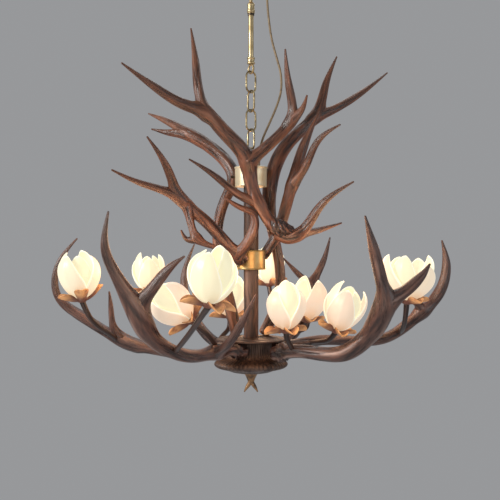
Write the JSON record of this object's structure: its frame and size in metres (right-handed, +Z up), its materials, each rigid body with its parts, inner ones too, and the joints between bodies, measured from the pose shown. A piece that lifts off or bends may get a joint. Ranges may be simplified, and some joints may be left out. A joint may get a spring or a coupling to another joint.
{
  "type": "antler chandelier",
  "caption": "Hanging chandelier of brown resin antlers round a brass column, with tulip-shaped glass shades on stems, hung by a chain and rod from a ceiling canopy.",
  "frame": {"origin": "centre of the ceiling bracket's top face, where it meets the ceiling", "axes": "+Z up, +X right and -Y towards the viewer of the picture; the lamp hangs below the origin"},
  "size_m": [0.9216, 0.836, 0.9596],
  "materials": {
    "bracket_steel": "zinc plated",
    "antique_brass": "aged, satin",
    "bronzed_resin": "cast resin, bronze coloured",
    "antler_resin": "cast resin, grooved, semi-matt",
    "opal_glass": "opal, satin",
    "bark_paint": "rust brown paint",
    "holder_white": "gloss",
    "bulb_glass": "frosted",
    "cord_sheath": "satin",
    "grip_black": "satin",
    "dark_screw": "dark bronze"
  },
  "bodies": {
    "ceiling": {"ceiling_bracket": "bracket_steel", "canopy": "antique_brass", "canopy_loop": "antique_brass", "cord_grip": "grip_black", "supply_cord": "cord_sheath"},
    "rod": {"rod_top_bell": "antique_brass", "suspension_rod": "antique_brass", "rod_bottom_ferrule": "antique_brass"},
    "link_1": {"chain_link_1": "antique_brass"},
    "link_2": {"chain_link_2": "antique_brass"},
    "link_3": {"chain_link_3": "antique_brass"},
    "link_4": {"chain_link_4": "antique_brass"},
    "lamp": {"bulbs": "bulb_glass", "calyxes": "bark_paint", "column_tube": "antique_brass", "drum_knobs": "dark_screw", "finial": "bronzed_resin", "flower_shade_1": "opal_glass", "flower_shade_10": "opal_glass", "flower_shade_2": "opal_glass", "flower_shade_3": "opal_glass", "flower_shade_4": "opal_glass", "flower_shade_5": "opal_glass", "flower_shade_6": "opal_glass", "flower_shade_7": "opal_glass", "flower_shade_8": "opal_glass", "flower_shade_9": "opal_glass", "flower_stem_1": "bark_paint", "flower_stem_10": "bark_paint", "flower_stem_2": "bark_paint", "flower_stem_3": "bark_paint", "flower_stem_4": "bark_paint", "flower_stem_5": "bark_paint", "flower_stem_6": "bark_paint", "flower_stem_7": "bark_paint", "flower_stem_8": "bark_paint", "flower_stem_9": "bark_paint", "hub_body": "bronzed_resin", "hub_cover_plate": "antique_brass", "lamp_holders": "holder_white", "lower_antler_back_left": "antler_resin", "lower_antler_back_right": "antler_resin", "lower_antler_far_left": "antler_resin", "lower_antler_far_right": "antler_resin", "lower_antler_front_left": "antler_resin", "lower_antler_front_right": "antler_resin", "lower_drum": "antique_brass", "top_loop": "antique_brass", "upper_antler_back_right": "antler_resin", "upper_antler_left": "antler_resin", "upper_antler_mid_left": "antler_resin", "upper_antler_mid_right": "antler_resin", "upper_antler_right": "antler_resin", "upper_antler_trunk": "antler_resin", "upper_drum": "antique_brass"}
  },
  "joints": [
    {"name": "rod_swing", "type": "hinge", "parent": "ceiling", "child": "rod", "pos_m": [0, 0, -0.0616], "axis": [0.829, 0.5592, 0], "range_deg": [-4, 4], "deforming": ["supply_cord"]},
    {"name": "link_1_swing", "type": "hinge", "parent": "rod", "child": "link_1", "pos_m": [0, 0, -0.2419], "axis": [-0.5592, 0.829, 0], "range_deg": [-4, 4], "deforming": ["supply_cord"]},
    {"name": "link_2_swing", "type": "hinge", "parent": "link_1", "child": "link_2", "pos_m": [0, 0, -0.2851], "axis": [0.829, 0.5592, 0], "range_deg": [-4, 4], "deforming": ["supply_cord"]},
    {"name": "link_3_swing", "type": "hinge", "parent": "link_2", "child": "link_3", "pos_m": [0, 0, -0.3284], "axis": [-0.5592, 0.829, 0], "range_deg": [-4, 4], "deforming": ["supply_cord"]},
    {"name": "link_4_swing", "type": "hinge", "parent": "link_3", "child": "link_4", "pos_m": [0, 0, -0.3717], "axis": [0.829, 0.5592, 0], "range_deg": [-4, 4], "deforming": ["supply_cord"]},
    {"name": "lamp_swing", "type": "hinge", "parent": "link_4", "child": "lamp", "pos_m": [0, 0, -0.415], "axis": [-0.5592, 0.829, 0], "range_deg": [-4, 4], "deforming": ["supply_cord"]}
  ]
}
